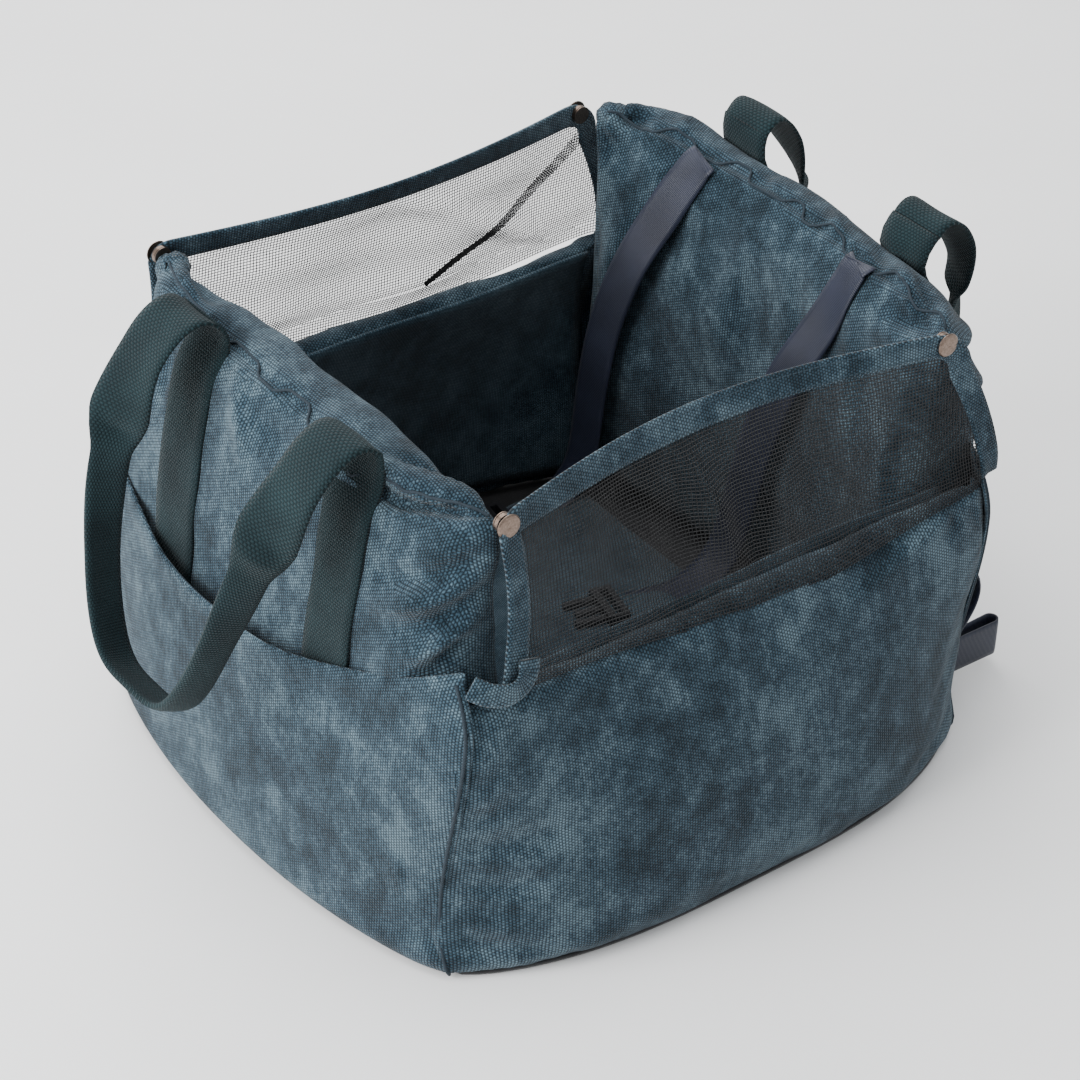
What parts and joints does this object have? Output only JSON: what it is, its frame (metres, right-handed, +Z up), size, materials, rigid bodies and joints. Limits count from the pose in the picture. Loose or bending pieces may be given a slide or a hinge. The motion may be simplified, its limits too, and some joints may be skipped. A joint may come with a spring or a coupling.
{
  "type": "pet carrier bag",
  "caption": "Open-top fabric pet carrier with padded side walls, snap-up mesh flaps front and back, webbing handles, side pockets and inner tether straps.",
  "frame": {"origin": "centre of the bag's underside, on the surface it stands on", "axes": "+X along the front mesh flap towards the wall that holds the tether straps, +Y from the front flap to the back flap, +Z up"},
  "size_m": [0.5616, 0.416, 0.303],
  "materials": {
    "chenille": "brushed chenille upholstery cloth",
    "lining": "brushed cloth, finer pile",
    "foam": "open-cell foam",
    "webbing": "ribbed cotton webbing",
    "grosgrain": "satin grosgrain ribbon",
    "net": "knitted polyester net",
    "snap_metal": "gunmetal bronze plating, brushed",
    "base_cloth": "coated non-slip cloth",
    "board": "matt board",
    "buckle_plastic": "moulded acetal, fine grain"
  },
  "bodies": {
    "bag": {"base_fabric": "base_cloth", "base_board": "board", "floor_pad": "lining", "left_wall_foam": "foam", "left_outer_panel": "chenille", "left_inner_panel": "chenille", "left_top_strip": "chenille", "left_pocket": "chenille", "right_wall_foam": "foam", "right_outer_panel": "chenille", "right_inner_panel": "chenille", "right_top_strip": "chenille", "right_pocket": "chenille", "front_panel": "chenille", "front_panel_foam": "foam", "front_lining": "lining", "front_hem": "chenille", "back_panel": "chenille", "back_panel_foam": "foam", "back_lining": "lining", "back_hem": "chenille", "front_snap_studs": "snap_metal", "back_snap_studs": "snap_metal", "left_wall_webbing": "webbing", "right_wall_webbing": "webbing", "side_strap": "grosgrain", "loop_tab": "grosgrain"},
    "front_flap": {"front_mesh": "net", "front_mesh_binding": "chenille", "front_snap_caps": "snap_metal", "front_snap_sockets": "snap_metal"},
    "back_flap": {"back_mesh": "net", "back_mesh_binding": "chenille", "back_snap_caps": "snap_metal", "back_snap_sockets": "snap_metal"},
    "left_handle": {"left_handle": "webbing"},
    "right_handle": {"right_handle": "webbing"},
    "rear_tether": {"rear_tether": "grosgrain", "rear_tether_buckle": "buckle_plastic"},
    "front_tether": {"front_tether": "grosgrain", "front_tether_buckle": "buckle_plastic"}
  },
  "joints": [
    {"name": "front_flap_fold", "type": "hinge", "parent": "bag", "child": "front_flap", "pos_m": [0, -0.176, 0.1906], "axis": [1, 0, 0], "range_deg": [0, 150]},
    {"name": "back_flap_fold", "type": "hinge", "parent": "bag", "child": "back_flap", "pos_m": [0, 0.176, 0.1906], "axis": [-1, 0, 0], "range_deg": [0, 150]},
    {"name": "left_handle_lift", "type": "hinge", "parent": "bag", "child": "left_handle", "pos_m": [-0.1853, 0, 0.297], "axis": [0, 1, 0], "range_deg": [0, 165]},
    {"name": "right_handle_lift", "type": "hinge", "parent": "bag", "child": "right_handle", "pos_m": [0.1993, 0, 0.297], "axis": [0, -1, 0], "range_deg": [0, 165]},
    {"name": "rear_tether_swing", "type": "hinge", "parent": "bag", "child": "rear_tether", "pos_m": [0.152, 0.078, 0.287], "axis": [0, 1, 0], "range_deg": [0, 150]},
    {"name": "front_tether_swing", "type": "hinge", "parent": "bag", "child": "front_tether", "pos_m": [0.152, -0.066, 0.287], "axis": [0, 1, 0], "range_deg": [0, 150]}
  ]
}
